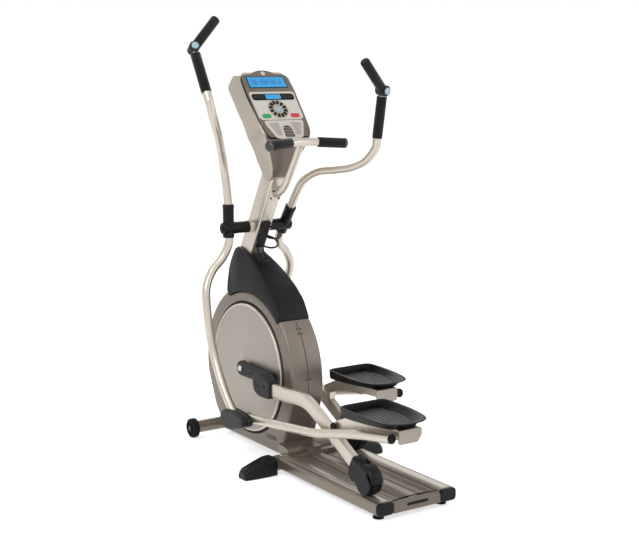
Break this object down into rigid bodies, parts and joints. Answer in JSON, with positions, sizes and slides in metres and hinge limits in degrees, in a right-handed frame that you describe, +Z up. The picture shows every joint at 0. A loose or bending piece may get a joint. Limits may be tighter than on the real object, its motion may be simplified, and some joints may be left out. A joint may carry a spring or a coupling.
{
  "type": "elliptical trainer",
  "caption": "Front-drive elliptical trainer with coupled pedals, swinging handlebars, roller arms on floor rails and a tilted console.",
  "frame": {"origin": "on the floor, below the centre of the bounding box", "axes": "+Z up, +Y towards the front housing, +X to the right of the standing user"},
  "size_m": [0.6198, 1.46, 1.6579],
  "materials": {
    "silver_tube": "champagne silver metallic paint, satin",
    "taupe_frame": "taupe metallic paint, satin",
    "taupe_shell": "taupe metallic paint over plastic",
    "taupe_disc": "lighter taupe metallic paint over plastic",
    "silver_shell": "champagne silver paint over plastic",
    "black_plastic": "black, fine grain",
    "dark_grey_plastic": "dark grey, satin",
    "foam": "black, soft",
    "steel": "bright",
    "cast_iron": "machined",
    "rubber": "black",
    "crank_paint": "black paint",
    "blue_button": "silver blue",
    "screen": "cyan blue display",
    "green_key": "green",
    "red_key": "red"
  },
  "bodies": {
    "base": {"base_frame": "taupe_frame", "rail_left": "taupe_frame", "rail_right": "taupe_frame", "rail_cap_left": "black_plastic", "rail_cap_right": "black_plastic", "mid_foot_left": "black_plastic", "mid_foot_right": "black_plastic", "deck_cover": "taupe_shell", "mast": "silver_tube", "side_shell_left": "taupe_shell", "side_shell_right": "taupe_shell", "top_shroud": "black_plastic", "drive_belt": "rubber", "fixed_handlebar": "silver_tube", "fixed_grip_left": "foam", "fixed_grip_right": "foam", "bottle_cage": "black_plastic", "console_front": "silver_shell", "console_back": "silver_shell", "display_window": "screen"},
    "crank": {"crank_axle": "steel", "drive_pulley": "dark_grey_plastic", "disc_left": "taupe_disc", "disc_right": "taupe_disc", "crank_arm_left": "crank_paint", "crank_arm_right": "crank_paint"},
    "flywheel_body": {"flywheel": "cast_iron"},
    "carriage_left": {"roller_axle_left": "steel"},
    "roller_left": {"roller_wheel_left": "rubber"},
    "arm_left": {"roller_arm_left": "silver_tube", "arm_shroud_left": "dark_grey_plastic", "roller_shroud_left": "black_plastic"},
    "link_left": {"pedal_link_left": "silver_tube", "pedal_left": "black_plastic"},
    "swing_left": {"handlebar_left": "silver_tube", "handlebar_sleeve_left": "black_plastic", "foam_grip_left": "foam", "joint_cover_left": "dark_grey_plastic"},
    "top_grip_body_left": {"top_grip_left": "foam"},
    "grip_button_body_left": {"grip_button_left": "blue_button"},
    "wheel_body_left": {"transport_wheel_left": "rubber"},
    "leveller_body_left": {"leveller_left": "rubber"},
    "carriage_right": {"roller_axle_right": "steel"},
    "roller_right": {"roller_wheel_right": "rubber"},
    "arm_right": {"roller_arm_right": "silver_tube", "arm_shroud_right": "dark_grey_plastic", "roller_shroud_right": "black_plastic"},
    "link_right": {"pedal_link_right": "silver_tube", "pedal_right": "black_plastic"},
    "swing_right": {"handlebar_right": "silver_tube", "handlebar_sleeve_right": "black_plastic", "foam_grip_right": "foam", "joint_cover_right": "dark_grey_plastic"},
    "top_grip_body_right": {"top_grip_right": "foam"},
    "grip_button_body_right": {"grip_button_right": "blue_button"},
    "wheel_body_right": {"transport_wheel_right": "rubber"},
    "leveller_body_right": {"leveller_right": "rubber"},
    "start_key_body": {"start_key": "green_key"},
    "stop_key_body": {"stop_key": "red_key"},
    "enter_key_body": {"enter_key": "blue_button"}
  },
  "joints": [
    {"name": "stride_left", "type": "slide", "parent": "base", "child": "carriage_left", "axis": [0, 1, 0], "range_m": [0, 0.444]},
    {"name": "roller_spin_left", "type": "hinge", "parent": "carriage_left", "child": "roller_left", "pos_m": [-0.132, -0.49695, 0.108], "axis": [1, 0, 0], "continuous": true},
    {"name": "arm_tilt_left", "type": "hinge", "parent": "carriage_left", "child": "arm_left", "pos_m": [-0.132, -0.49695, 0.108], "axis": [1, 0, 0], "range_deg": [-15.5, 15.5]},
    {"name": "link_tilt_left", "type": "hinge", "parent": "arm_left", "child": "link_left", "pos_m": [-0.132, -0.32995, 0.262], "axis": [1, 0, 0], "range_deg": [-19.4, 19.4]},
    {"name": "handlebar_swing_left", "type": "hinge", "parent": "base", "child": "swing_left", "pos_m": [-0.125, 0.43305, 0.859], "axis": [1, 0, 0], "range_deg": [0, 35.79]},
    {"name": "top_grip_angle_left", "type": "hinge", "parent": "swing_left", "child": "top_grip_body_left", "pos_m": [-0.286, 0.39304, 1.537], "axis": [-0.2017, -0.8704, 0.4491], "range_deg": [-45, 45]},
    {"name": "grip_button_press_left", "type": "slide", "parent": "top_grip_body_left", "child": "grip_button_body_left", "axis": [0.2017, 0.8704, -0.4491], "range_m": [0, 0.003], "stiffness_N_per_m": 600},
    {"name": "transport_wheel_spin_left", "type": "hinge", "parent": "base", "child": "wheel_body_left", "pos_m": [-0.198, 0.60804, 0.0385], "axis": [1, 0, 0], "continuous": true},
    {"name": "leveller_screw_left", "type": "slide", "parent": "base", "child": "leveller_body_left", "axis": [0, 0, -1], "range_m": [0, 0.012]},
    {"name": "stride_right", "type": "slide", "parent": "base", "child": "carriage_right", "axis": [0, 1, 0], "range_m": [-0.444, 0]},
    {"name": "roller_spin_right", "type": "hinge", "parent": "carriage_right", "child": "roller_right", "pos_m": [0.132, -0.05296, 0.108], "axis": [1, 0, 0], "continuous": true},
    {"name": "arm_tilt_right", "type": "hinge", "parent": "carriage_right", "child": "arm_right", "pos_m": [0.132, -0.05296, 0.108], "axis": [1, 0, 0], "range_deg": [-15.5, 15.5]},
    {"name": "link_tilt_right", "type": "hinge", "parent": "arm_right", "child": "link_right", "pos_m": [0.132, 0.11404, 0.262], "axis": [1, 0, 0], "range_deg": [-19.4, 19.4]},
    {"name": "handlebar_swing_right", "type": "hinge", "parent": "base", "child": "swing_right", "pos_m": [0.125, 0.43305, 0.859], "axis": [1, 0, 0], "range_deg": [-35.79, 0]},
    {"name": "top_grip_angle_right", "type": "hinge", "parent": "swing_right", "child": "top_grip_body_right", "pos_m": [0.286, 0.0043, 1.38575], "axis": [0.2017, -0.9687, -0.1443], "range_deg": [-45, 45]},
    {"name": "grip_button_press_right", "type": "slide", "parent": "top_grip_body_right", "child": "grip_button_body_right", "axis": [-0.2017, 0.9687, 0.1443], "range_m": [0, 0.003], "stiffness_N_per_m": 600},
    {"name": "transport_wheel_spin_right", "type": "hinge", "parent": "base", "child": "wheel_body_right", "pos_m": [0.198, 0.60804, 0.0385], "axis": [1, 0, 0], "continuous": true},
    {"name": "leveller_screw_right", "type": "slide", "parent": "base", "child": "leveller_body_right", "axis": [0, 0, -1], "range_m": [0, 0.012]},
    {"name": "crank_spin", "type": "hinge", "parent": "base", "child": "crank", "pos_m": [0, 0.38904, 0.315], "axis": [1, 0, 0], "continuous": true},
    {"name": "flywheel_spin", "type": "hinge", "parent": "base", "child": "flywheel_body", "pos_m": [0, 0.22304, 0.2], "axis": [1, 0, 0], "continuous": true},
    {"name": "start_key_press", "type": "slide", "parent": "base", "child": "start_key_body", "axis": [0, 0.7702, -0.6378], "range_m": [0, 0.0015], "stiffness_N_per_m": 300},
    {"name": "stop_key_press", "type": "slide", "parent": "base", "child": "stop_key_body", "axis": [0, 0.7702, -0.6378], "range_m": [0, 0.0015], "stiffness_N_per_m": 300},
    {"name": "enter_key_press", "type": "slide", "parent": "base", "child": "enter_key_body", "axis": [0, 0.7702, -0.6378], "range_m": [0, 0.0015], "stiffness_N_per_m": 300}
  ],
  "couplings": [
    {"joint": "stride_right", "follows": "stride_left", "ratio": -1},
    {"joint": "roller_spin_left", "follows": "stride_left", "rad_per_m": -21.882},
    {"joint": "roller_spin_right", "follows": "stride_left", "rad_per_m": 21.882},
    {"joint": "handlebar_swing_left", "follows": "stride_left", "rad_per_m": 1.406},
    {"joint": "handlebar_swing_right", "follows": "stride_left", "rad_per_m": -1.406},
    {"joint": "crank_spin", "follows": "stride_left", "rad_per_m": -7.0757},
    {"joint": "flywheel_spin", "follows": "stride_left", "rad_per_m": -40.203},
    {"joint": "arm_tilt_right", "follows": "arm_tilt_left", "ratio": -1},
    {"joint": "link_tilt_left", "follows": "arm_tilt_left", "ratio": -1.25},
    {"joint": "link_tilt_right", "follows": "arm_tilt_left", "ratio": 1.25}
  ]
}
